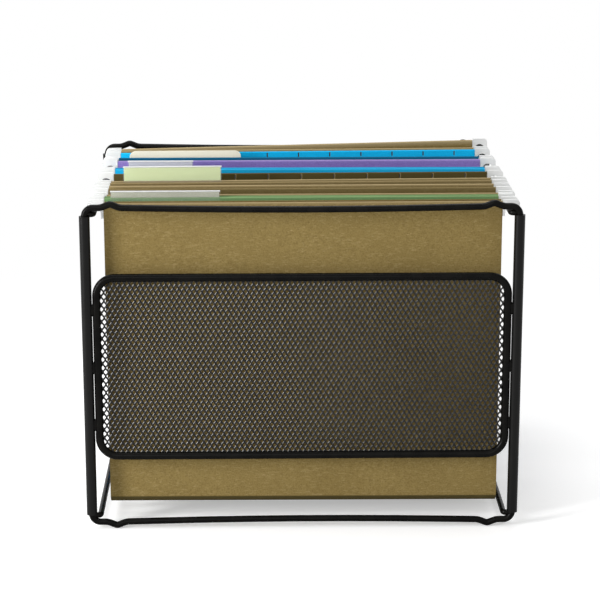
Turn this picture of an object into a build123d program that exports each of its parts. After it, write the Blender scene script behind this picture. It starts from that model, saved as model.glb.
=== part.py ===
"""Desktop file organizer: a black wire frame with mesh ends, carrying nine hanging folders.

Millimetres. X runs left to right, Y from front to back, Z up. The origin is on the desk,
midway between the four posts. One STEP file is written for each named piece.
"""
from build123d import *
import math
import os

# Wire frame
post_spacing = 322.4        # left to right, centre to centre of the posts
frame_depth = 246.0         # front to back, centre to centre of the posts
bar_spacing = 246.2         # lower bar to upper bar beside the posts, centre to centre
bar_diameter = 5.0
bar_bend = 6.5              # centreline radius where a bar turns down into its leg
bar_bow = 1.7               # how far a bar curves in towards the other between its feet
bar_bow_share = 0.8         # of the length between the feet that is curved
leg_length = 36.0           # how far a leg reaches into its post
foot_offset = 19.1          # from the post to the middle of the foot
foot_height = 2.6           # how far a foot stands off its bar
foot_slope = 22.0           # degrees, flank of a foot
foot_bend = 3.2             # centreline radius of a foot's crown
foot_ease = 12.0            # centreline radius where a foot runs out into its bar
post_diameter = 8.0
post_setback = 6.3          # from the centre of a bar to the end of a post
post_bore_gap = 0.1         # radial, between a leg and the bore of its post
rail_diameter = 4.5
rail_inset = 6.4            # from the post to the rail, across the frame
rail_offset = 5.0           # from the bar to the rail, up and down
rail_bend = 2.6             # centreline radius where a rail turns out to its bar
rail_setback = 1.2          # from the bar's plane back to the turned-out rail end
rail_gap = 0.1              # between a rail's end and the post that it is cut round

# Mesh end panels
rim_diameter = 6.0
rim_gap = 0.3               # between rim and post, bridged by the welds
panel_height = 145.7        # over the rim
rim_corner = 14.0           # centreline radius
mesh_thickness = 0.8
mesh_strand = 2.0           # width of a strand of the expanded sheet
mesh_columns = 14           # diamonds in a row
mesh_rows = 6               # full rows, with another row nested between each two
weld_diameter = 5.0
weld_length = 9.0
weld_pitch = 45.0           # from the middle weld to the ones above and below

# Hanging folders
paper_inset = 6.3           # from the centre of a rail to the end of the paper
paper_thickness = 0.45
paper_rise = 1.35           # top of the paper above the centre of the upper bar's ends
flap_height = 231.9         # top of the paper down to the lower crease
keel_depth = 4.7            # lower crease down to the bottom fold
keel_half_width = 5.8       # most that a crease stands off the bottom fold
hem_height = 13.0
hem_thickness = 1.8
hem_cap = 0.9               # paper above the strip in its hem
slot_count = 11
slot_margin = 17.5          # from the end of the paper to the nearest slot
slot_width = 1.1
slot_height = 3.6
slot_drop = 1.0             # top of the paper down to the slot
strip_thickness = 0.8
strip_height = 10.5
strip_play = 0.05           # all round, between a strip and its hem
hook_shank = 14.0           # length of a hook inside the hem
hook_thickness = 1.8
hook_reach = 12.9           # from the end of the paper to the hook's tip
hook_head_gap = 0.5         # from the end of the paper to the hook's head
hook_rise = 1.0             # above the top of the paper
hook_height = 12.4
hook_lip_height = 9.6
hook_corner = 3.0
notch_radius = 4.25
notch_gap = 0.25            # between a rail and the roof of the notch
twist_step = 1.2            # most that a flap twists between two of its sections

# Each flap is where its strip hangs, as (left, right), in percent of the way to the rear bars
folders = [
    {"front": (3.86, 5.08), "rear": (7.60, 9.35), "shift": 1.0},
    {"front": (12.72, 13.74), "rear": (14.43, 15.45), "shift": 0.2},
    {"front": (17.89, 18.70), "rear": (23.98, 25.00), "shift": 1.2},
    {"front": (28.86, 30.28), "rear": (33.13, 35.77), "shift": 1.0},
    {"front": (36.79, 40.45), "rear": (48.98, 50.81), "shift": 1.3},
    {"front": (56.91, 56.30), "rear": (58.62, 58.01), "shift": 1.0},
    {"front": (70.65, 71.54), "rear": (72.36, 73.25), "shift": 1.0},
    {"front": (75.61, 76.22), "rear": (84.96, 89.43), "shift": 1.0},
    {"front": (89.23, 92.97), "rear": (91.87, 97.72), "shift": 0.8, "lift": 4.5},
]

# Index tabs: the folder whose front flap carries each one, the distance from the paper's left
# end to the tab, and the tab's width and height
tab_wall = 0.5
tab_thickness = 2.0
tab_tongue = 4.5            # how far the tab reaches down over the hem
label_thickness = 0.7
label_margin = 0.8          # from the tab's edges to its label
tabs = {
    "front_tab": {"folder": 2, "inset": 4.3, "width": 82.6, "height": 4.9},
    "label_tab": {"folder": 5, "inset": 9.2, "width": 76.7, "height": 11.8},
    "rear_tab": {"folder": 6, "inset": 10.3, "width": 52.5, "height": 6.9},
}

# Manila file standing in one of the folders
file_folder = 8
file_margin = 2.0           # from the end of the folder's paper to the end of the file
file_height = 226.0
file_leaf = 0.4
file_gap = 0.6
file_clearance = 1.6        # above the folder's bottom fold
file_tab_inset = 7.2        # from the file's left end to its tab
file_tab_width = 92.1
file_tab_height = 12.7
file_tab_corner = 5.0

# Places that follow from the sizes above
half_posts = post_spacing / 2
half_depth = frame_depth / 2
lower_bar_z = foot_height + bar_diameter / 2
upper_bar_z = lower_bar_z + bar_spacing
mid_z = (lower_bar_z + upper_bar_z) / 2
rail_x = half_posts - rail_inset
rail_z = upper_bar_z - rail_offset
post_length = bar_spacing - 2 * post_setback
rim_half_width = half_posts - post_diameter / 2 - rim_gap - rim_diameter / 2
rim_half_height = (panel_height - rim_diameter) / 2
paper_width = 2 * (rail_x - paper_inset)
paper_top = upper_bar_z + paper_rise
crease_z = paper_top - flap_height
fold_z = crease_z - keel_depth
hem_half = hem_thickness / 2
strip_z = -hem_cap - strip_play - strip_height / 2
slot_pitch = (paper_width - 2 * slot_margin) / (slot_count - 1)
file_width = paper_width - 2 * file_margin


def rod(path, diameter):
    """Round wire along a path."""
    start = Plane(origin=path @ 0, z_dir=path % 0)
    return sweep(start * Circle(diameter / 2), path=path)


def foot_points(x, z, side):
    """Three corners of a foot's centreline, from left to right."""
    slope = math.radians(foot_slope)
    peak = foot_height + foot_bend * (1 / math.cos(slope) - 1)
    half_base = peak / math.tan(slope)
    return [(x - half_base, 0, z), (x, 0, z + side * peak), (x + half_base, 0, z)]


def cross_bar(z, side, y):
    """Bar with a foot near each end and a leg at each end; side is 1 for the upper bars."""
    foot_x = half_posts - foot_offset
    leg_end = z - side * (bar_bend + leg_length)
    left_foot, right_foot = foot_points(-foot_x, z, side), foot_points(foot_x, z, side)
    half_span = right_foot[0][0]
    apex = bar_bow / (1 - bar_bow_share / 2)
    bow_radius = bar_bow_share * half_span ** 2 / apex
    corners = [(-half_posts, 0, z)] + left_foot + [(0, 0, z - side * apex)]
    corners += right_foot + [(half_posts, 0, z)]
    foot_radii = [foot_ease, foot_bend, foot_ease]
    radii = [bar_bend] + foot_radii + [bow_radius] + foot_radii + [bar_bend]
    points = [(-half_posts, 0, leg_end)] + corners + [(half_posts, 0, leg_end)]
    return Pos(0, y, 0) * rod(FilletPolyline(*points, radius=radii), bar_diameter)


def post(x, y):
    """Tube that joins an upper leg to a lower leg."""
    bore = bar_diameter / 2 + post_bore_gap
    tube = Cylinder(post_diameter / 2, post_length) - Cylinder(bore, post_length)
    return Pos(x, y, mid_z) * tube


def side_rail(side, z, bars):
    """Rail from front to back, its ends turned out, cut round the posts and welded to the bars."""
    end_y = half_depth - rail_setback
    path = FilletPolyline(
        (side * half_posts, -end_y, z),
        (side * rail_x, -end_y, z),
        (side * rail_x, end_y, z),
        (side * half_posts, end_y, z),
        radius=rail_bend,
    )
    rail = rod(path, rail_diameter)
    socket = Cylinder(post_diameter / 2 + rail_gap, post_length + 2 * rail_gap)
    for y in (-half_depth, half_depth):
        rail -= Pos(side * half_posts, y, mid_z) * socket
    for bar in bars:
        rail -= bar
    return max(rail.solids(), key=lambda piece: piece.volume)


def panel_rim(y):
    """Closed hoop of wire with round corners, standing between two posts."""
    outline = RectangleRounded(2 * rim_half_width, 2 * rim_half_height, rim_corner)
    path = (Plane((0, y, mid_z), x_dir=(1, 0, 0), z_dir=(0, -1, 0)) * outline).wire()
    return rod(path, rim_diameter)


def panel_mesh(y, rim):
    """Expanded sheet with two nested grids of upright diamonds, welded into its rim."""
    inner_width = 2 * rim_half_width - rim_diameter
    inner_height = 2 * rim_half_height - rim_diameter
    pitch_x = inner_width / mesh_columns
    pitch_z = inner_height / mesh_rows
    half_x = (pitch_x - mesh_strand) / 2
    half_z = half_x * pitch_z / pitch_x
    corner_zone = rim_corner - rim_diameter / 2
    centres = [
        ((column - (mesh_columns - 1) / 2) * pitch_x, (row - (mesh_rows - 1) / 2) * pitch_z)
        for row in range(mesh_rows) for column in range(mesh_columns)
    ]
    centres += [
        ((column - (mesh_columns - 2) / 2) * pitch_x, (row - (mesh_rows - 2) / 2) * pitch_z)
        for row in range(mesh_rows - 1) for column in range(mesh_columns - 1)
    ]
    holes = []
    for x, z in centres:
        beyond = (abs(x) - inner_width / 2 + corner_zone, abs(z) - inner_height / 2 + corner_zone)
        if beyond[0] > 0 and beyond[1] > 0:
            continue
        diamond = Polygon((x - half_x, z), (x, z - half_z), (x + half_x, z), (x, z + half_z),
                          align=None)
        holes.append(diamond.wire())
    outline = RectangleRounded(2 * rim_half_width, 2 * rim_half_height, rim_corner)
    sheet = Face(outline.wire(), holes)
    wall = Plane((0, y, mid_z), x_dir=(1, 0, 0), z_dir=(0, -1, 0))
    return extrude(wall * sheet, mesh_thickness / 2, both=True) - rim


def panel_welds(y, rim, posts):
    """Six fillet welds in the grooves between a rim and its posts."""
    welds = []
    groove_x = half_posts - post_diameter / 2 - rim_gap / 2
    for side in (-1, 1):
        for step in (-1, 0, 1):
            bead = Cylinder(weld_diameter / 2, weld_length)
            bead = chamfer(bead.edges(), weld_diameter / 4)
            bead = Pos(side * groove_x, y, mid_z + step * weld_pitch) * bead
            bead = bead - rim
            for tube in posts:
                bead -= tube
            welds += [piece for piece in bead.solids() if piece.volume > 1]
    return Compound(children=welds)


def flap_ends(folder, side):
    """Y of a flap's strip over the left and the right rail."""
    return [share / 100 * frame_depth - half_depth for share in folder[side]]


def flap_lift(folder, side):
    """How much higher the right end of a flap hangs than its left end."""
    return folder.get("lift", 0) if side == "rear" else 0


def flap_turn(folder, side):
    """Degrees that a strip is turned about Z, because one end hangs further back."""
    left, right = flap_ends(folder, side)
    return math.degrees(math.atan2(right - left, 2 * rail_x))


def flap_point(folder, side, x):
    """Y of a flap's strip and Z of its top edge, at a distance x from its middle."""
    left, right = flap_ends(folder, side)
    share = 0.5 + x / (2 * rail_x)
    y = left + (right - left) * share
    return y, paper_top + flap_lift(folder, side) * share


def flap_place(folder, side):
    """Frame on the top edge of a flap, midway along its strip, with X along the strip."""
    tilt = -math.degrees(math.atan2(flap_lift(folder, side), 2 * rail_x))
    y, z = flap_point(folder, side, 0)
    return Location((folder["shift"], y, z), (0, tilt, flap_turn(folder, side)))


def folder_section(folder, x):
    """Outline of the folded sheet, cut across the strips."""
    front_y, front_top = flap_point(folder, "front", x)
    rear_y, rear_top = flap_point(folder, "rear", x)
    middle = (front_y + rear_y) / 2
    keel = min(keel_half_width, (rear_y - front_y) / 2 + hem_half)
    inside = keel - paper_thickness
    inner_fold = fold_z + paper_thickness * math.hypot(keel, keel_depth) / keel
    outline = [
        (front_y - hem_half, front_top),
        (front_y - hem_half, front_top - hem_height),
        (middle - keel, crease_z),
        (middle, fold_z),
        (middle + keel, crease_z),
        (rear_y + hem_half, rear_top - hem_height),
        (rear_y + hem_half, rear_top),
        (rear_y - hem_half, rear_top),
        (rear_y - hem_half, rear_top - hem_height),
        (rear_y + hem_half - paper_thickness, rear_top - hem_height),
        (middle + inside, crease_z),
        (middle, inner_fold),
        (middle - inside, crease_z),
        (front_y - hem_half + paper_thickness, front_top - hem_height),
        (front_y + hem_half, front_top - hem_height),
        (front_y + hem_half, front_top),
    ]
    place = folder["shift"] + x
    return make_face(Polyline(*[(place, y, z) for y, z in outline], close=True))


def folder_sheet(folder):
    """One sheet folded at the bottom, its two hems slotted for tabs on their inner faces."""
    half = paper_width / 2
    skews = [right - left for left, right in (flap_ends(folder, "front"), flap_ends(folder, "rear"))]
    panels = 1 + 2 * round(abs(skews[1] - skews[0]) / 2 / twist_step)
    sections = [folder_section(folder, -half + paper_width * step / panels)
                for step in range(panels + 1)]
    sheet = loft(sections, ruled=True)
    hollow = Box(1.1 * paper_width, strip_thickness + 2 * strip_play, strip_height + 2 * strip_play)
    slot = Box(slot_width, hem_thickness, slot_height)
    first_slot = -(slot_count - 1) / 2 * slot_pitch
    for side, inner_face in (("front", hem_half), ("rear", -hem_half)):
        place = flap_place(folder, side)
        sheet -= place * Pos(0, 0, strip_z) * hollow
        for number in range(slot_count):
            x = first_slot + number * slot_pitch
            sheet -= place * Pos(x, inner_face, -slot_drop - slot_height / 2) * slot
    return sheet


def folder_strips(folder):
    """The two flat steel strips that stiffen the hems."""
    length = paper_width - 2 * hook_shank
    strip = Box(length, strip_thickness, strip_height)
    return Compound(children=[
        (flap_place(folder, side) * Pos(0, 0, strip_z) * strip).solid() for side in ("front", "rear")
    ])


def hook(folder, side, end):
    """Moulded end of a strip: a shank in the hem and a head with a notch for the rail."""
    half = paper_width / 2
    seat = rail_z - paper_top
    off_centre = folder["shift"]
    bite = notch_radius - rail_diameter / 2 - notch_gap
    notch_z = seat - math.sqrt(bite ** 2 - off_centre ** 2)
    top = hook_rise
    head_length = hook_reach - hook_head_gap
    plate = Rectangle(head_length, hook_height)
    plate = Pos(hook_reach - head_length / 2, top - hook_height / 2) * plate
    tip = plate.vertices().group_by(Axis.X)[-1].sort_by(Axis.Y)
    plate = fillet(tip[-1], hook_corner)
    notch = Pos(paper_inset, notch_z) * Circle(notch_radius)
    notch += Pos(paper_inset, notch_z - hook_height / 2) * Rectangle(2 * notch_radius, hook_height)
    trim_x = paper_inset + notch_radius
    trim = Pos(trim_x + hook_reach / 2, top - hook_lip_height - hook_height / 2)
    plate -= notch + trim * Rectangle(hook_reach, hook_height)
    plate = Plane.XZ * plate
    head = extrude(plate, hook_thickness / 2, both=True)
    shank = Box(hook_shank + hook_head_gap, strip_thickness, strip_height)
    shank = Pos((hook_head_gap - hook_shank) / 2, 0, strip_z) * shank
    moulding = Pos(half, 0, 0) * (head + shank)
    if end < 0:
        moulding = mirror(moulding, Plane.YZ)
    return (flap_place(folder, side) * moulding).solid()


def folder_hooks(folder):
    """The four plastic hooks of a folder."""
    return Compound(children=[
        hook(folder, side, end) for side in ("front", "rear") for end in (-1, 1)
    ])


def index_tab(tab):
    """Clear sleeve standing on a front flap, with a tongue over the hem, and its label."""
    folder = folders[tab["folder"] - 1]
    place = flap_place(folder, "front")
    middle = -paper_width / 2 + tab["inset"] + tab["width"] / 2
    sleeve = Box(tab["width"], tab_thickness, tab["height"])
    space = Box(tab["width"] + 1, tab_thickness - 2 * tab_wall, tab["height"] - tab_wall)
    sleeve = sleeve - Pos(0, 0, -tab_wall / 2) * space
    sleeve = Pos(0, -hem_half - tab_wall + tab_thickness / 2, tab["height"] / 2) * sleeve
    tongue = Box(tab["width"], tab_wall, tab_tongue)
    sleeve += Pos(0, -hem_half - tab_wall / 2, -tab_tongue / 2) * tongue
    label_height = tab["height"] - tab_wall - 2 * strip_play
    label = Box(tab["width"] - 2 * label_margin, label_thickness, label_height)
    label = Pos(0, -hem_half - tab_wall + tab_thickness / 2, label_height / 2 + strip_play) * label
    seat = place * Pos(middle, 0, 0)
    return seat * sleeve, seat * label


def manila_file():
    """Folded card file whose rear leaf carries the index tab."""
    folder = folders[file_folder - 1]
    y = sum(flap_point(folder, side, 0)[0] for side in ("front", "rear")) / 2
    turn = sum(flap_turn(folder, side) for side in ("front", "rear")) / 2
    half_thickness = file_leaf + file_gap / 2
    bottom = fold_z + file_clearance
    body = Box(file_width, 2 * half_thickness, file_height)
    body -= Pos(0, 0, file_leaf) * Box(file_width + 1, file_gap, file_height)
    tab_x = -file_width / 2 + file_tab_inset + file_tab_width / 2
    tab = Pos(tab_x, 0) * Rectangle(file_tab_width, 2 * file_tab_height)
    tab = fillet(tab.vertices().group_by(Axis.Y)[-1], file_tab_corner)
    tab = extrude(Plane.XZ * tab, file_leaf / 2, both=True)
    body += Pos(0, half_thickness - file_leaf / 2, file_height / 2) * tab
    return Pos(0, y, bottom + file_height / 2) * Rot(0, 0, turn) * body


def build_pieces():
    """Every piece of the organizer, by name."""
    pieces = {}
    ends = {"front": -half_depth, "rear": half_depth}
    sides = {"left": -1, "right": 1}
    levels = {"upper": (upper_bar_z, 1), "lower": (lower_bar_z, -1)}
    for level, (z, up) in levels.items():
        bars = {end: cross_bar(z, up, y) for end, y in ends.items()}
        for end, bar in bars.items():
            pieces[f"{level}_{end}_bar"] = bar
        for name, side in sides.items():
            rail = side_rail(side, z - up * rail_offset, bars.values())
            pieces[f"{name}_{level}_rail"] = rail
    for end, y in ends.items():
        posts = {name: post(side * half_posts, y) for name, side in sides.items()}
        for name, tube in posts.items():
            pieces[f"{end}_{name}_post"] = tube
        rim = panel_rim(y)
        pieces[f"{end}_panel_rim"] = rim
        pieces[f"{end}_panel_mesh"] = panel_mesh(y, rim)
        pieces[f"{end}_panel_welds"] = panel_welds(y, rim, posts.values())
    for number, folder in enumerate(folders, start=1):
        pieces[f"folder_{number}_sheet"] = folder_sheet(folder)
        pieces[f"folder_{number}_strips"] = folder_strips(folder)
        pieces[f"folder_{number}_hooks"] = folder_hooks(folder)
    for name, tab in tabs.items():
        pieces[name], pieces[f"{name}_insert"] = index_tab(tab)
    pieces["manila_file"] = manila_file()
    return pieces


os.makedirs("parts", exist_ok=True)
for name, piece in build_pieces().items():
    export_step(piece, f"parts/{name}.step")
    print(name, round(sum(solid.volume for solid in piece.solids()), 1))
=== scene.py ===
import math
import bpy
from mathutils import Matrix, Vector, noise


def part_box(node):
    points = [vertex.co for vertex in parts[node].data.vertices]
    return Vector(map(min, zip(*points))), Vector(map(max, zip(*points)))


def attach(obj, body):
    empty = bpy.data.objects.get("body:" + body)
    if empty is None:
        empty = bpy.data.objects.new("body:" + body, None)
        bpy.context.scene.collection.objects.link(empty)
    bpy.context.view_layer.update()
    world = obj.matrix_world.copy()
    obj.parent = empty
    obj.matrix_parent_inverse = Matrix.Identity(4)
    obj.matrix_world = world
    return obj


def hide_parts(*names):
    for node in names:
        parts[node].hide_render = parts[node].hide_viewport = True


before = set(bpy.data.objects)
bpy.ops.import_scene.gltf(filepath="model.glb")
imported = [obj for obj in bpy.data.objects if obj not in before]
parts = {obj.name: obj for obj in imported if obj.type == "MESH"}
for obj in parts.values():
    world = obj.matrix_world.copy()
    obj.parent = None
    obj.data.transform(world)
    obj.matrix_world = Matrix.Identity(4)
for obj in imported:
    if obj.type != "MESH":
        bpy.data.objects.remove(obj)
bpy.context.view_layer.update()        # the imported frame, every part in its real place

print("frame loaded,", len(parts), "parts")


def mm(*values):    # one length, or a point, given in millimetres
    lengths = [value / 1000 for value in values]
    return lengths[0] if len(lengths) == 1 else Vector(lengths)


def seen(red, green, blue):     # a colour as it looks on screen, 0 to 255, made linear
    def linear(value):
        value /= 255
        return value / 12.92 if value <= 0.04045 else ((value + 0.055) / 1.055) ** 2.4
    return tuple(linear(value) for value in (red, green, blue))


def newFinish(name, colour, settings):      # settings go by the names of the shader's sockets
    finish = bpy.data.materials.new(name)
    finish.use_nodes = True
    shader = finish.node_tree.nodes["Principled BSDF"]
    shader.inputs["Base Color"].default_value = (*colour, 1)
    for socket, value in settings.items():
        shader.inputs[socket].default_value = value
    return finish, shader


def addNode(holder, kind, **settings):      # settings name its options or its one-word inputs
    node = holder.node_tree.nodes.new(kind)
    for setting, value in settings.items():
        socket = setting.capitalize()
        if socket in node.inputs:
            node.inputs[socket].default_value = value
        else:
            setattr(node, setting, value)
    return node


def join(holder, fromNode, output, toNode, socket):
    holder.node_tree.links.new(fromNode.outputs[output], toNode.inputs[socket])


def speckle(finish, scale, detail=3, roughness=0.5, stretch=(1, 1, 1), turn=(0, 0, 0)):
    place = addNode(finish, "ShaderNodeTexCoord")
    mapping = addNode(finish, "ShaderNodeMapping", scale=stretch, rotation=turn)
    pattern = addNode(finish, "ShaderNodeTexNoise", scale=scale, detail=detail, roughness=roughness)
    join(finish, place, "Object", mapping, "Vector")
    join(finish, mapping, "Vector", pattern, "Vector")
    return pattern


def between(finish, source, low, high, toLow=0.0, toHigh=1.0):
    span = addNode(finish, "ShaderNodeMapRange")
    for socket, value in (("From Min", low), ("From Max", high), ("To Min", toLow), ("To Max", toHigh)):
        span.inputs[socket].default_value = value
    join(finish, source, 0, span, "Value")
    return span


mixSocket = {"amount": 0, "base": 6, "colour": 7, "result": 2}     # of a Mix node set to colours


def tint(finish, amount, base, colour, output=0):   # base turns to colour where amount is 1
    mix = addNode(finish, "ShaderNodeMix", data_type="RGBA")
    join(finish, amount, output, mix, mixSocket["amount"])
    if isinstance(base, tuple):
        mix.inputs[mixSocket["base"]].default_value = (*base, 1)
    else:
        join(finish, base, mixSocket["result"], mix, mixSocket["base"])
    mix.inputs[mixSocket["colour"]].default_value = (*colour, 1)
    return mix


def emboss(finish, shader, pattern, depth, strength):
    bump = addNode(finish, "ShaderNodeBump", strength=strength, distance=depth)
    join(finish, pattern, 0, bump, "Height")
    join(finish, bump, "Normal", shader, "Normal")


# camera, fitted to the corners of the frame
camera = {
    "lens": 124.325,
    "sensor": 36.0,
    "place": mm(-30.6, -1619.7, 576.5),
    "pitch": 14.823,        # degrees below the horizon
    "yaw": 1.100,           # degrees towards the right
    "nearest": 0.05,
}


def makeCamera():
    data = bpy.data.cameras.new("camera")
    data.lens = camera["lens"]
    data.sensor_width = camera["sensor"]
    data.clip_start = camera["nearest"]
    eye = bpy.data.objects.new("camera", data)
    eye.location = camera["place"]
    eye.rotation_euler = (math.radians(90 - camera["pitch"]), 0, -math.radians(camera["yaw"]))
    bpy.context.scene.collection.objects.link(eye)
    bpy.context.scene.camera = eye


makeCamera()
print("camera set")


# black powder coat on the wire, the tubes and the net
coat = {
    "colour": (0.0016, 0.0015, 0.0013),
    "patches": {"scale": 90, "detail": 4},      # where it lies thicker and thinner
    "thinSpan": (0.35, 0.7),                    # of the patches' noise
    "roughSpan": (0.3, 0.7),
    "peel": {"scale": 1300, "detail": 2},
    "peelDepth": mm(0.012),
    "peelStrength": 0.5,
    "kinds": {      # roughness from and to, specular level, colour where it lies thin
        "blackWireCoat": ((0.22, 0.32), 0.075, (0.0045, 0.0042, 0.0035)),
        "blackTubeCoat": ((0.34, 0.42), 0.19, None),
        "blackMeshCoat": ((0.18, 0.26), 0.36, None),
    },
}


def powderCoat(name):
    roughness, specular, thin = coat["kinds"][name]
    finish, shader = newFinish(name, coat["colour"], {"Specular IOR Level": specular})
    patches = speckle(finish, **coat["patches"])
    if thin:
        colour = tint(finish, between(finish, patches, *coat["thinSpan"]), coat["colour"], thin)
        join(finish, colour, mixSocket["result"], shader, "Base Color")
    join(finish, between(finish, patches, *coat["roughSpan"], *roughness), 0, shader, "Roughness")
    peel = speckle(finish, **coat["peel"])
    emboss(finish, shader, peel, coat["peelDepth"], coat["peelStrength"])
    return finish


# card of the folders, the manila file and the labels: dyed pulp, finely speckled
pulp = {
    "surface": {"Roughness": 0.88, "Specular IOR Level": 0.2},
    "grainDepth": mm(0.05),
    "grainStrength": 0.3,
    "speckles": {       # pattern, the span of its noise, the strongest tint and what it tints to
        "mottle": ({"scale": 24, "detail": 5, "roughness": 0.6}, (0.3, 0.75), 0.3, "darker"),
        "grain": ({"scale": 950, "roughness": 0.7}, (0.46, 0.66), 0.8, "darker"),
        "streaks": ({"scale": 900, "roughness": 0.6, "stretch": (0.25, 1, 1)},
                    (0.52, 0.7), 0.3, "lighter"),
        "flecks": ({"scale": 520, "roughness": 0.7, "stretch": (0.4, 1, 1), "turn": (0.3, 0.4, 0.2)},
                   (0.66, 0.74), 0.5, "lighter"),
    },
}
cards = {       # a card's own flecks replace the strongest tint above
    # the lighter edge colour is wear with a painted highlight on it; the darkest colour is painted
    # shade
    "kraftCard": {
        "colour": seen(134, 115, 68), "darker": seen(103, 85, 43), "lighter": seen(172, 154, 110),
        "wornAndLitEdge": seen(168, 150, 112), "paintedShade": seen(76, 66, 32)},
    "greenCard": {
        "colour": seen(108, 150, 98), "darker": seen(92, 134, 82), "lighter": seen(126, 164, 116),
        "wornAndLitEdge": seen(138, 162, 112), "paintedShade": seen(66, 92, 52), "flecks": 0.3},
    "blueCard": {
        "colour": seen(4, 188, 246), "darker": seen(2, 174, 232), "lighter": seen(14, 196, 250),
        "wornAndLitEdge": seen(62, 172, 214), "paintedShade": seen(8, 72, 104), "flecks": 0.2},
    "purpleCard": {
        "colour": seen(138, 117, 186), "darker": seen(120, 101, 168), "lighter": seen(154, 138, 200),
        "wornAndLitEdge": seen(158, 150, 184), "paintedShade": seen(80, 66, 110), "flecks": 0.3},
    "manilaCard": {
        "colour": seen(252, 246, 226), "darker": seen(247, 239, 215), "lighter": seen(254, 250, 238),
        "flecks": 0.3},
    "greenLabel": {
        "colour": seen(220, 233, 180), "darker": seen(213, 226, 170), "lighter": seen(227, 239, 190),
        "flecks": 0.2},
    "frontLabel": {
        "colour": seen(190, 191, 173), "darker": seen(180, 181, 161), "lighter": seen(202, 203, 188),
        "flecks": 0.2},
    "rearLabel": {
        "colour": seen(190, 192, 206), "darker": seen(180, 182, 198), "lighter": seen(202, 204, 214),
        "flecks": 0.2},
}


def cardStock(name):
    look = cards[name]
    finish, shader = newFinish(name, look["colour"], pulp["surface"])
    base, patterns = look["colour"], {}
    for kind, (pattern, span, most, shade) in pulp["speckles"].items():
        patterns[kind] = speckle(finish, **pattern)
        amount = between(finish, patterns[kind], *span, 0, look.get(kind, most))
        base = tint(finish, amount, base, look[shade])
    # the first value paints a highlight along worn hem tops and slot lips, the second paints shade in
    # the keel and on flaps in shadow
    for wearAndShade in ("wornAndLitEdge", "paintedShade"):     # values kept on the points of a folder's sheet
        if wearAndShade in look:
            kept = addNode(finish, "ShaderNodeAttribute", attribute_name=wearAndShade)
            base = tint(finish, kept, base, look[wearAndShade], "Fac")
    join(finish, base, mixSocket["result"], shader, "Base Color")
    emboss(finish, shader, patterns["grain"], pulp["grainDepth"], pulp["grainStrength"])
    return finish


# moulded hooks, and the clear sheet of the index tabs
plastic = {
    "flow": {"scale": 120, "detail": 3},
    "flowDepth": mm(0.06),
    "flowStrength": 0.15,
    "kinds": {
        "milkyPlastic": (seen(237, 238, 237), {
            "Roughness": 0.3, "Alpha": 0.96,
            "Subsurface Weight": 0.25, "Subsurface Radius": (0.002, 0.002, 0.002)}),
        "clearSleeve": (seen(236, 238, 240), {"Roughness": 0.16, "Alpha": 0.06}),
        # painted highlight along the folded top edge of the sleeve
        "clearSleeveFold": (seen(238, 239, 240), {"Roughness": 0.2, "Alpha": 0.6}),
    },
}


def plainPlastic(name):
    finish, shader = newFinish(name, *plastic["kinds"][name])
    flow = speckle(finish, **plastic["flow"])
    emboss(finish, shader, flow, plastic["flowDepth"], plastic["flowStrength"])
    return finish


# flat steel strips in the hems, with the fine lines of rolling along them
steel = {
    # darker than bare steel: painted shade for the slots in front of the strip
    "colour": seen(92, 92, 90),
    "rolling": {"scale": 900, "detail": 3, "stretch": (0.02, 1, 1)},
    "roughSpan": (0.3, 0.7),
    "roughness": (0.34, 0.55),
    "lineDepth": mm(0.01),
    "lineStrength": 0.4,
}


def steelStrip(name):
    finish, shader = newFinish(name, steel["colour"], {"Metallic": 1.0})
    rolled = speckle(finish, **steel["rolling"])
    rough = between(finish, rolled, *steel["roughSpan"], *steel["roughness"])
    join(finish, rough, 0, shader, "Roughness")
    emboss(finish, shader, rolled, steel["lineDepth"], steel["lineStrength"])
    return finish


finishes = {name: powderCoat(name) for name in coat["kinds"]}
finishes.update({name: cardStock(name) for name in cards})
finishes.update({name: plainPlastic(name) for name in plastic["kinds"]})
finishes["rolledSteel"] = steelStrip("rolledSteel")
print("finishes made")


# edges that are rounded, and shading that stays even up to the cut edges of a thin sheet
edges = {
    "segments": 2,
    "sharperThan": 40,      # degrees
    "shadeWeight": 80,
}


def dress(name, finish):
    part = parts[name]
    part.data.materials.clear()
    part.data.materials.append(finish)
    return part


def soften(part, width):
    edge = part.modifiers.new("softEdge", "BEVEL")
    edge.width = width
    edge.segments = edges["segments"]
    edge.limit_method = "ANGLE"
    edge.angle_limit = math.radians(edges["sharperThan"])


def thicken(piece, thickness):
    wall = piece.modifiers.new("wall", "SOLIDIFY")
    wall.thickness = thickness
    wall.offset = 0
    wall.use_even_offset = True
    piece.modifiers.new("evenShade", "WEIGHTED_NORMAL").weight = edges["shadeWeight"]


def newPiece(name, points, faces, finish, smooth=True):
    shape = bpy.data.meshes.new(name)
    shape.from_pydata([tuple(point) for point in points], [], faces)
    shape.materials.append(finish)
    shape.update()
    if smooth:
        shape.polygons.foreach_set("use_smooth", [True] * len(shape.polygons))
    piece = bpy.data.objects.new(name, shape)
    bpy.context.scene.collection.objects.link(piece)
    return piece


# wire frame
wireFrame = {
    "wire": ("_bar", "_rail", "_rim", "_welds"),
    "tube": "_post",
    "tubeEdge": mm(0.3),
}


def dressFrame():
    for name in parts:
        if name.endswith(wireFrame["wire"]):
            dress(name, finishes["blackWireCoat"])
        elif name.endswith(wireFrame["tube"]):
            soften(dress(name, finishes["blackTubeCoat"]), wireFrame["tubeEdge"])


dressFrame()
print("wire frame dressed")


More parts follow.
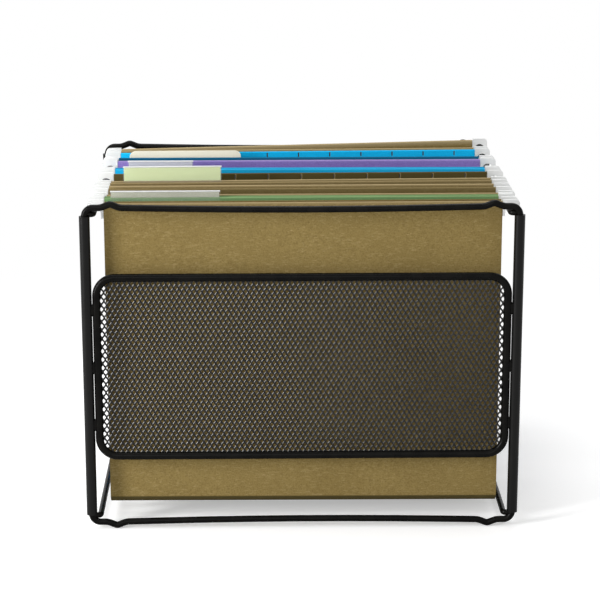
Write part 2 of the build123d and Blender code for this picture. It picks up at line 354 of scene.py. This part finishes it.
# expanded net of the end panels: each opening is an upright hexagon, each strand leans back at its top
net = {
    "pitchAcross": mm(3.85),
    "pitchUp": mm(6.52),
    "openHalfWidth": mm(1.17),
    "openHalfHeight": mm(1.78),
    "shoulder": mm(0.32),       # half height of an opening's upright side
    "edge": mm(0.30),           # how far a strand's flanks slope in towards the openings
    "tipFlare": 1.6,            # the slope is longer than that at an opening's tips,
    "shoulderFlare": 0.35,      # and shorter at its shoulders
    "lean": mm(0.14),           # how far a strand's upper edge lies behind its lower edge, halved
    "sheet": mm(0.42),
    "rimCorner": mm(14.0),      # radius of the rim's corners along the middle of its wire
    "margin": mm(0.5),          # least way from the rim's middle line to the middle of an opening
}


def netOpenings(halfWidth, halfHeight):     # middles of the openings by column and row, in half steps
    across, up, corner, margin = net["pitchAcross"], net["pitchUp"], net["rimCorner"], net["margin"]

    def inside(x, z):
        dx, dz = abs(x) - (halfWidth - corner), abs(z) - (halfHeight - corner)
        if dx <= 0 or dz <= 0:
            return abs(x) < halfWidth - margin and abs(z) < halfHeight - margin
        return math.hypot(dx, dz) < corner - margin

    columns, rows = int(halfWidth / across) + 2, int(2 * halfHeight / up) + 2
    openings = {}
    for row in range(-rows, rows + 1):
        odd = row % 2
        for column in range(-columns, columns + 1):
            x, z = (column + odd / 2) * across, row * up / 2
            if inside(x, z):
                openings[(2 * column + odd, row)] = (x, z)
    return openings


def openingRing(x, z, layer, out):      # its six corners, from the upper tip on
    wide, tip = net["openHalfWidth"] + out, net["openHalfHeight"] + net["tipFlare"] * out
    side, lean = net["shoulder"] + net["shoulderFlare"] * out, net["lean"]
    ring = [(0, tip, -lean), (wide, side, -lean), (wide, -side, lean),
            (0, -tip, lean), (-wide, -side, lean), (-wide, side, -lean)]
    return [(x + dx, dy + layer, z + dz) for dx, dz, dy in ring]


def panelNet(end):
    low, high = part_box(end + "_panel_rim")
    rimWire = high.y - low.y
    middle = (low + high) / 2
    openings = netOpenings((high.x - low.x - rimWire) / 2, (high.z - low.z - rimWire) / 2)
    half, edge = net["sheet"] / 2, net["edge"]
    points, faces, rings = [], [], {}
    for key, (x, z) in openings.items():    # front face, rear face, and the middle of the sheet
        front = rings[key] = len(points)
        rear, inner = front + 6, front + 12
        for layer, out in ((-half, edge), (half, edge), (0, 0)):
            points += openingRing(x, z, layer, out)
        for k in range(6):
            n = (k + 1) % 6
            faces.append((front + k, front + n, inner + n, inner + k))
            faces.append((inner + k, inner + n, rear + n, rear + k))

    def bothFaces(*corners):        # the rear ring's corners come six places after the front ring's
        faces.append(corners)
        faces.append(tuple(corner + 6 for corner in reversed(corners)))

    for (i, j), first in rings.items():
        for side, strand in ((1, (3, 2, 0, 5)), (-1, (4, 3, 1, 0))):
            other = rings.get((i + side, j - 1))
            if other is not None:       # strand to the next opening down, right and left
                bothFaces(first + strand[0], first + strand[1], other + strand[2], other + strand[3])
        right, above, below = (rings.get(key) for key in ((i + 2, j), (i + 1, j + 1), (i + 1, j - 1)))
        if None not in (right, above, below):       # knot where four strands meet
            bothFaces(first + 2, below, right + 4, right + 5, above + 3, first + 1)
    points = [(x, y + middle.y, z + middle.z) for x, y, z in points]
    piece = newPiece(end + "MeshSheet", points, faces, finishes["blackMeshCoat"], smooth=False)
    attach(piece, "frame")
    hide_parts(end + "_panel_mesh")


for end in ("front", "rear"):
    panelNet(end)
print("mesh panels made")


# folders: one sheet each, folded at the bottom and hemmed round its strips
sheet = {
    "thickness": mm(0.45),
    "hemHalf": mm(0.9),
    "hemHeight": mm(13.0),
    "hemSteps": 6,              # round the top of a hem
    "gluedEdge": mm(1.2),       # the hem's turned edge runs this far below it, against the flap
    "glueOffset": 1.02,         # of the thickness
    "hemRise": mm(1.4),         # the hem's inner face begins this far above the glue line
    "outerRows": (mm(2.0), mm(3.0), mm(6.0)),       # rows of points down the outer face
    "topOverStrip": mm(6.2),    # from the middle of a strip up to the top of the paper
    "flapRows": 12,
    "keelDepth": mm(4.7),
    "keelHalfWidth": mm(5.8),
    "creaseRise": 0.1,          # of the thickness
    "foldRadius": mm(1.2),
    "foldSteps": 3,
    "keelShade": 0.9,           # share of painted shade in the keel, which faces down
    "slots": 11,
    "slotPitch": mm(26.2),
    "slotWidth": mm(1.1),
    "slotTop": mm(1.0),
    "slotBottom": mm(4.6),
    "slotRow": 3,               # row of the slots, counted from the glued edge
    "slotLip": mm(0.7),         # pale cut edge to the right of a slot
    "lipSpan": (mm(0.9), mm(4.7)),
    "lipShade": 0.9,
    "slottedRear": (5, 8),      # folders hung with the slots to the front
    "bow": mm(0.7),             # how far a flap wanders from flat
    "bowScale": (9, 7),         # waves along the sheet and down it
    "bowSeeds": {"front": 0, "rear": 40},
    "bowSeedStep": 3.7,         # from folder to folder
    "litEdgeDepth": mm(3.0),     # how far down the painted highlight and wear at the top of a hem fade
    "litEdgeFade": 1.6,
    "loose": {1: (mm(1.8), mm(-3.8), mm(2.2))},     # bottom's swing left and right, front's bulge
    "looseCrease": mm(0.9),     # how far the front crease of a loose folder lies higher
    "flaps": {                  # top moved by, share of the worn edge with its painted highlight, share of painted shade
        "front": {
            1: (mm(0.2), 0.8, 0), 2: (mm(-0.3), 0.7, 0.1), 3: (mm(-0.7), 1, 0.1),
            4: (mm(0.5), 1, 0), 5: (mm(0.2), 1, 0.1), 6: (0, 0.7, 0.2),
            7: (mm(-0.2), 0.2, 0), 8: (mm(0.3), 0.7, 0.9), 9: (0, 1, 0)},
        "rear": {
            1: (mm(-0.6), 0.1, 0.5), 2: (mm(-0.2), 0.6, 0.3), 3: (mm(0.5), 0.5, 0.5),
            4: (mm(0.6), 0.7, 0.3), 5: (0, 0.3, 0.96), 6: (mm(0.2), 0.6, 0.4),
            7: (mm(-0.6), 0.8, 0.1), 8: (0, 0.1, 0.05), 9: (0, 2.0, 0)},
    },
}


def stripEnds(number):      # ends of the front and the rear strip of a folder, at left and right
    corners = [vertex.co for vertex in parts[f"folder_{number}_strips"].data.vertices]
    low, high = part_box(f"folder_{number}_strips")
    middle = (low.x + high.x) / 2
    sides = {"left": [p for p in corners if p.x < middle],
             "right": [p for p in corners if p.x > middle]}
    ends = {}
    for side, points in sides.items():
        points.sort(key=lambda p: p.y)
        half = len(points) // 2
        for flap, group in (("front", points[:half]), ("rear", points[half:])):
            x, y = (sum(values) / len(group) for values in zip(*((p.x, p.y) for p in group)))
            z = (min(p.z for p in group) + max(p.z for p in group)) / 2
            ends[(flap, side)] = Vector((x, y, z))
    return ends


def flapAt(number, ends, flap, x):      # y of a strip and z of the paper's top edge over x
    left, right = ends[(flap, "left")], ends[(flap, "right")]
    point = left + (right - left) * ((x - left.x) / (right.x - left.x))
    return point.y, point.z + sheet["topOverStrip"] + sheet["flaps"][flap][number][0]


def paperColumns(low, high):        # places across the sheet, and which of them start a slot
    middle = (low + high) / 2
    stops, slotColumns = [low], []
    for k in range(sheet["slots"]):
        x = middle + (k - (sheet["slots"] - 1) / 2) * sheet["slotPitch"]
        before, start, end = stops[-1], x - sheet["slotWidth"] / 2, x + sheet["slotWidth"] / 2
        stops += [before + (start - before) * share for share in (1 / 3, 2 / 3)]
        slotColumns.append(len(stops))
        stops += [start, end, end + sheet["slotLip"]]
    before = stops[-1]
    stops += [before + (high - before) * share for share in (1 / 2, 1)]
    return stops, slotColumns


def bend(before, corner, after):        # a rounded fold at a corner
    radius, steps = sheet["foldRadius"], sheet["foldSteps"]
    into, out = (corner - before).normalized(), (after - corner).normalized()
    start, end = corner - into * radius, corner + out * radius
    shares = [k / steps for k in range(steps + 1)]
    return [start.lerp(corner, t).lerp(corner.lerp(end, t), t) for t in shares]


def foldPlaces(number, front, rear, share, bottom):     # front crease, bottom fold and rear crease
    thick = sheet["thickness"]
    swingLeft, swingRight, _ = sheet["loose"].get(number, (0, 0, 0))
    middle = (front + rear) / 2 + swingLeft + (swingRight - swingLeft) * share
    keel = min(sheet["keelHalfWidth"], (rear - front) / 2 + sheet["hemHalf"]) - thick / 2
    crease = bottom + sheet["keelDepth"] + thick * sheet["creaseRise"]
    frontCrease = crease + (sheet["looseCrease"] if number in sheet["loose"] else 0)
    return (Vector((middle - keel, frontCrease)), Vector((middle, bottom + thick / 2)),
            Vector((middle + keel, crease)))


# one flap at x, from the hem's glued edge over its top and down to the crease
def flapLine(number, flap, x, y, top, crease, fold, bulge):
    thick, hem = sheet["thickness"], sheet["hemHalf"] - sheet["thickness"] / 2
    out = -1 if flap == "front" else 1      # outwards from the folder
    low = top - sheet["hemHeight"]
    glued = y + out * (hem - thick * sheet["glueOffset"])
    line = [Vector((glued, low - sheet["gluedEdge"])), Vector((glued, low))]
    line += [Vector((y - out * hem, z)) for z in
             (low + sheet["hemRise"], top - sheet["slotBottom"], top - sheet["slotTop"])]
    centre = top - thick / 2 - hem
    for k in range(sheet["hemSteps"] + 1):
        angle = math.pi * k / sheet["hemSteps"]
        line.append(Vector((y - out * hem * math.cos(angle), centre + hem * math.sin(angle))))
    line += [Vector((y + out * hem, top - depth)) for depth in sheet["outerRows"]]
    start = Vector((y + out * hem, low))
    line.append(start)
    waveAcross, waveDown = sheet["bowScale"]
    seed = number * sheet["bowSeedStep"] + sheet["bowSeeds"][flap]
    for k in range(1, sheet["flapRows"]):
        share = k / sheet["flapRows"]
        point = start.lerp(crease, share)
        free = math.sin(math.pi * share)        # held at the hem and at the crease
        wander = noise.noise(Vector((x * waveAcross, point.y * waveDown, seed))) * free
        swell = out * bulge * free ** 2
        line.append(point + Vector((sheet["bow"] * wander + swell, 0)))
    return line + bend(start, crease, fold)


# shares of the worn edge with its painted highlight and of painted shade at one point of a folder,
# depth below its top
def edgeAndShadeAt(number, flap, depth, inKeel, onLip):
    _, litEdgeShare, shadeShare = sheet["flaps"][flap][number]
    wornAndLitEdge = min(1.0, litEdgeShare * max(0.0, 1 - depth / sheet["litEdgeDepth"]) ** sheet["litEdgeFade"])
    if onLip and sheet["lipSpan"][0] < depth < sheet["lipSpan"][1]:
        return max(wornAndLitEdge, sheet["lipShade"]), 0.0
    return wornAndLitEdge, max(sheet["keelShade"] if inKeel else 0.0, shadeShare)


def keepValue(piece, name, values):     # one value on each point, read by the finish
    layer = piece.data.attributes.new(name, "FLOAT", "POINT")
    layer.data.foreach_set("value", values)


def folderPaper(number, colour):
    low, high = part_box(f"folder_{number}_sheet")
    ends = stripEnds(number)
    columns, slotColumns = paperColumns(low.x, high.x)
    if number not in sheet["slottedRear"]:
        slotColumns = []
    bulge = sheet["loose"].get(number, (0, 0, 0))[2]
    points, wearAndShade = [], []
    for column, x in enumerate(columns):
        share = (x - low.x) / (high.x - low.x)
        frontY, frontTop = flapAt(number, ends, "front", x)
        rearY, rearTop = flapAt(number, ends, "rear", x)
        frontCrease, fold, rearCrease = foldPlaces(number, frontY, rearY, share, low.z)
        swell = bulge * math.sin(math.pi * share)
        front = flapLine(number, "front", x, frontY, frontTop, frontCrease, fold, swell)
        keel = bend(frontCrease, fold, rearCrease)
        rear = flapLine(number, "rear", x, rearY, rearTop, rearCrease, fold, 0)
        section = front + keel + rear[::-1]
        points += [(x, point.x, point.y) for point in section]
        keelFrom, keelTo = len(front), len(front) + len(keel)
        # each point carries its share of painted highlight and of painted shade
        for k, point in enumerate(section):
            flap, top = ("rear", rearTop) if k >= keelTo else ("front", frontTop)
            inKeel = keelFrom - 2 <= k < keelTo + 2
            onLip = flap == "rear" and column - 1 in slotColumns
            wearAndShade.append(edgeAndShadeAt(number, flap, top - point.y, inKeel, onLip))
    count = len(section)
    slotFace = count - 2 - sheet["slotRow"]     # the section ends at the rear flap's glued edge
    faces = []
    for i in range(len(columns) - 1):
        for k in range(count - 1):
            if i in slotColumns and k == slotFace:
                continue
            a = i * count + k
            faces.append((a, a + count, a + count + 1, a + 1))
    paper = newPiece(f"folder{number}Paper", points, faces, finishes[colour + "Card"])
    wornAndLitEdge, paintedShade = zip(*wearAndShade)
    keepValue(paper, "wornAndLitEdge", wornAndLitEdge)
    keepValue(paper, "paintedShade", paintedShade)
    thicken(paper, sheet["thickness"])
    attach(paper, f"folder_{number}")
    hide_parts(f"folder_{number}_sheet")


folders = {
    "colours": ["kraft", "green", "kraft", "kraft", "kraft", "blue", "purple", "blue", "kraft"],
    "hookEdge": mm(0.35),
}
for number, colour in enumerate(folders["colours"], start=1):
    folderPaper(number, colour)
    dress(f"folder_{number}_strips", finishes["rolledSteel"])
    soften(dress(f"folder_{number}_hooks", finishes["milkyPlastic"]), folders["hookEdge"])
print("folders made")


# index tabs: a clear sheet folded over its label, with a tongue down the front of the hem
tabs = {
    "wall": mm(0.35),
    "depth": mm(2.0),           # front to back over the sleeve
    "tongue": mm(4.5),
    "gap": mm(0.03),            # to the hem
    "foldHeight": mm(0.9),      # the folded top edge is a painted highlight: a more opaque white line
    "foldRound": mm(0.35),
    "foldDrop": mm(0.25),
    "backLift": mm(0.2),        # the back ends this far above the paper
    "label": mm(0.3),
    "labelGap": mm(0.08),       # to the sleeve in front of it
    "labelMargin": mm(0.8),
    "labelLift": mm(0.15),
    "labelDrop": mm(0.25),      # below the sleeve's fold
    "steps": 6,
    "carriers": {               # folder and label
        "front_tab": (2, "frontLabel"), "label_tab": (5, "greenLabel"), "rear_tab": (6, "rearLabel")},
}


def extrudeAlong(name, low, high, profile, finish, wall):       # a thin sheet that follows a flap
    steps = tabs["steps"]
    points, faces = [], []
    for k in range(steps + 1):
        x = low + (high - low) * k / steps
        points += [(x, *point) for point in profile(x)]
    count = len(points) // (steps + 1)
    for k in range(steps):
        for n in range(count - 1):
            a = k * count + n
            faces.append((a, a + count, a + count + 1, a + 1))
    piece = newPiece(name, points, faces, finish, smooth=False)
    thicken(piece, wall)
    return piece


def clearTab(name, number, labelFinish):
    low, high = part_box(name)
    ends = stripEnds(number)
    wall = tabs["wall"]
    height = high.z - max(flapAt(number, ends, "front", x)[1] for x in (low.x, high.x))

    def place(x):       # front and back of the sleeve, and the top of the hem, at x
        y, top = flapAt(number, ends, "front", x)
        face = y - sheet["hemHalf"] - wall / 2 - tabs["gap"]
        return face, face + tabs["depth"] - wall, top

    def front(x):
        y, _, top = place(x)
        return [(y, top - tabs["tongue"]), (y, top), (y, top + height - tabs["foldHeight"])]

    def rear(x):
        _, y, top = place(x)
        return [(y, top + height - tabs["foldHeight"]), (y, top + tabs["backLift"])]

    def foldOver(x):
        y, back, top = place(x)
        base, crown = top + height - tabs["foldHeight"], top + height - wall / 2
        drop, turn = crown - tabs["foldDrop"], tabs["foldRound"]
        return [(y, base), (y, drop), (y + turn, crown),
                (back - turn, crown), (back, drop), (back, base)]

    def label(x):
        y, _, top = place(x)
        behind = y + wall / 2 + tabs["label"] / 2 + tabs["labelGap"]
        return [(behind, top + tabs["labelLift"]), (behind, top + height - wall - tabs["labelDrop"])]

    body = extrudeAlong(name + "Sleeve", low.x, high.x, front, finishes["clearSleeve"], wall)
    back = extrudeAlong(name + "SleeveBack", low.x, high.x, rear, finishes["clearSleeve"], wall)
    crown = extrudeAlong(name + "SleeveFold", low.x, high.x, foldOver,
                         finishes["clearSleeveFold"], wall)
    for piece in (body, back, crown):
        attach(piece, f"folder_{number}")
        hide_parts(name)
    left, right = low.x + tabs["labelMargin"], high.x - tabs["labelMargin"]
    card = extrudeAlong(name + "Label", left, right, label, finishes[labelFinish], tabs["label"])
    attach(card, f"folder_{number}")
    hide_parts(name + "_insert")


for name, (number, labelFinish) in tabs["carriers"].items():
    clearTab(name, number, labelFinish)
print("index tabs made")


# manila file: one card folded at the bottom, its rear leaf with the tab
manila = {
    "folder": 8,                # the folder that it stands in
    "leaf": mm(0.4),
    "gap": mm(0.6),
    "frontDrop": mm(1.5),       # the front leaf is lower than the rear one
    "tabInset": mm(7.2),
    "tabWidth": mm(92.1),
    "tabHeight": mm(12.7),
    "tabCorner": mm(5.0),
    "tabStep": mm(0.02),        # width of the step at either side of the tab
    "cornerSteps": 6,
    "columns": 30,
    "rows": 12,
    "foldSteps": 4,
    "bow": mm(0.8),
    "bowScale": 11,
    "bowSeed": (3.1, 7.7),
}


def manilaColumns(low, high, tabLeft, tabRight):
    corner, steps = manila["tabCorner"], manila["cornerSteps"]
    stops = {low, high}
    for edge, into in ((tabLeft, 1), (tabRight, -1)):
        stops |= {edge - into * manila["tabStep"], edge}
        turns = [math.pi / 2 * k / steps for k in range(1, steps + 1)]
        stops |= {edge + into * corner * (1 - math.cos(turn)) for turn in turns}
    stops |= {low + (high - low) * k / manila["columns"] for k in range(manila["columns"] + 1)}
    return sorted(stops)


def manilaFile():
    low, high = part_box("manila_file")
    number, ends = manila["folder"], stripEnds(manila["folder"])
    leaf, halfGap, rows = manila["leaf"], manila["gap"] / 2 + manila["leaf"] / 2, manila["rows"]
    tabLeft, tabRight = low.x + manila["tabInset"], low.x + manila["tabInset"] + manila["tabWidth"]
    bodyTop, corner = high.z - manila["tabHeight"], manila["tabCorner"]
    columns = manilaColumns(low.x, high.x, tabLeft, tabRight)

    def rearTop(x):
        inset = min(x - tabLeft, tabRight - x)
        if inset < 0:
            return bodyTop
        if inset >= corner:
            return high.z
        return high.z - corner + math.sqrt(max(0.0, corner ** 2 - (corner - inset) ** 2))

    def middleAt(x):        # between the folder's two flaps
        return sum(flapAt(number, ends, flap, x)[0] for flap in ("front", "rear")) / 2

    centre = (low.x + high.x) / 2
    lean = (middleAt(high.x) - middleAt(low.x)) / (high.x - low.x)
    bottom = low.z + leaf / 2 + halfGap
    turns = [math.pi * k / manila["foldSteps"] for k in range(manila["foldSteps"] + 1)]
    points, faces = [], []
    for x in columns:
        y = middleAt(centre) + (x - centre) * lean
        wave = noise.noise(Vector((x * manila["bowScale"], *manila["bowSeed"]))) * manila["bow"]
        section = []
        for k in range(rows):       # down the front leaf
            share = 1 - k / rows
            section.append((y - halfGap + wave * share,
                            bottom + (bodyTop - manila["frontDrop"] - bottom) * share))
        section += [(y - halfGap * math.cos(turn), bottom - halfGap * math.sin(turn)) for turn in turns]
        for k in range(1, rows):    # up the rear leaf, and over the tab
            share = k / rows
            section.append((y + halfGap + wave * share, bottom + (bodyTop - bottom) * share))
        section += [(y + halfGap + wave, bodyTop), (y + halfGap + wave, rearTop(x))]
        points += [(x, *point) for point in section]
    count = len(section)
    for i, (left, right) in enumerate(zip(columns, columns[1:])):
        onTab = tabLeft <= left and right <= tabRight
        for k in range(count - 1 if onTab else count - 2):
            a = i * count + k
            faces.append((a, a + count, a + count + 1, a + 1))
    used = sorted({index for face in faces for index in face})
    order = {index: place for place, index in enumerate(used)}
    file = newPiece("manilaFile", [points[index] for index in used],
                    [tuple(order[index] for index in face) for face in faces], finishes["manilaCard"])
    thicken(file, leaf)
    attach(file, "manila_file")
    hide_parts("manila_file")


manilaFile()
print("manila file made")


# pale floor, and the white studio round it
studio = {
    "floorHalf": 6.0,
    "floorColour": (0.86, 0.86, 0.86),
    "floorLift": 0.38,          # white added for the camera's eye, so that the open floor is white
    "fade": (0.30, 0.75),       # the floor turns to plain white between these distances
    "surround": 0.32,
    "lamps": {                  # place, aim, size and watts
        "leftBox": ((-1.49, -0.91, 0.62), (0, 0, 0.12), (0.38, 1.1), 33.5),
        "overhead": ((-0.2, 0.25, 1.8), (0, 0, 0.1), (1.5, 1.1), 20),
        "frontFill": ((-0.5, -2.3, 1.1), (0, 0, 0.14), (1.4, 0.9), 9),
    },
}
white = (1, 1, 1, 1)


def either(holder, *sources):       # 1 where either of two outputs is 1
    larger = addNode(holder, "ShaderNodeMath", operation="MAXIMUM")
    for socket, (node, output) in enumerate(sources):
        join(holder, node, output, larger, socket)
    return larger


def makeFloor():
    finish = bpy.data.materials.new("paleFloor")
    finish.use_nodes = True
    finish.node_tree.nodes.clear()
    rays = addNode(finish, "ShaderNodeLightPath")
    paper = addNode(finish, "ShaderNodeBsdfDiffuse", color=(*studio["floorColour"], 1))
    glow = addNode(finish, "ShaderNodeEmission", color=white)
    lift = addNode(finish, "ShaderNodeMath", operation="MULTIPLY")
    join(finish, rays, "Is Camera Ray", lift, 0)
    lift.inputs[1].default_value = studio["floorLift"]
    join(finish, lift, 0, glow, "Strength")
    lit = addNode(finish, "ShaderNodeAddShader")
    join(finish, paper, 0, lit, 0)
    join(finish, glow, 0, lit, 1)

    place = addNode(finish, "ShaderNodeTexCoord")
    away = addNode(finish, "ShaderNodeVectorMath", operation="LENGTH")
    join(finish, place, "Object", away, 0)
    fade = addNode(finish, "ShaderNodeMapRange", interpolation_type="SMOOTHSTEP")
    fade.inputs["From Min"].default_value, fade.inputs["From Max"].default_value = studio["fade"]
    join(finish, away, "Value", fade, "Value")
    sight = either(finish, (rays, "Is Camera Ray"), (rays, "Is Glossy Ray"))
    far = addNode(finish, "ShaderNodeMath", operation="MULTIPLY")
    join(finish, fade, "Result", far, 0)
    join(finish, sight, 0, far, 1)

    backdrop = addNode(finish, "ShaderNodeEmission", color=white, strength=1.0)
    mix = addNode(finish, "ShaderNodeMixShader")
    for socket, node in enumerate((far, lit, backdrop)):
        join(finish, node, 0, mix, socket)
    join(finish, mix, 0, addNode(finish, "ShaderNodeOutputMaterial"), "Surface")
    half = studio["floorHalf"]
    corners = [(-half, -half, 0), (half, -half, 0), (half, half, 0), (-half, half, 0)]
    floor = newPiece("paleFloor", corners, [(0, 1, 2, 3)], finish, smooth=False)


def makeLamps():
    for name, (place, aim, size, power) in studio["lamps"].items():
        data = bpy.data.lights.new(name, "AREA")
        data.shape = "RECTANGLE"
        data.size, data.size_y = size
        data.energy = power
        lamp = bpy.data.objects.new(name, data)
        lamp.location = place
        lamp.rotation_euler = (Vector(aim) - Vector(place)).to_track_quat("-Z", "Y").to_euler()
        bpy.context.scene.collection.objects.link(lamp)


def makeWorld():
    world = bpy.data.worlds.new("studioWhite")
    world.use_nodes = True
    bpy.context.scene.world = world
    world.node_tree.nodes.clear()
    rays = addNode(world, "ShaderNodeLightPath")
    soft = addNode(world, "ShaderNodeBackground", color=white, strength=studio["surround"])
    backdrop = addNode(world, "ShaderNodeBackground", color=white, strength=1.0)
    sight = either(world, (rays, "Is Camera Ray"), (rays, "Is Glossy Ray"))
    through = either(world, (sight, 0), (rays, "Is Transmission Ray"))
    mix = addNode(world, "ShaderNodeMixShader")
    for socket, node in enumerate((through, soft, backdrop)):
        join(world, node, 0, mix, socket)
    join(world, mix, 0, addNode(world, "ShaderNodeOutputWorld"), 0)


makeFloor()
makeLamps()
makeWorld()
bpy.context.scene.view_settings.view_transform = "Standard"
print("studio lit")
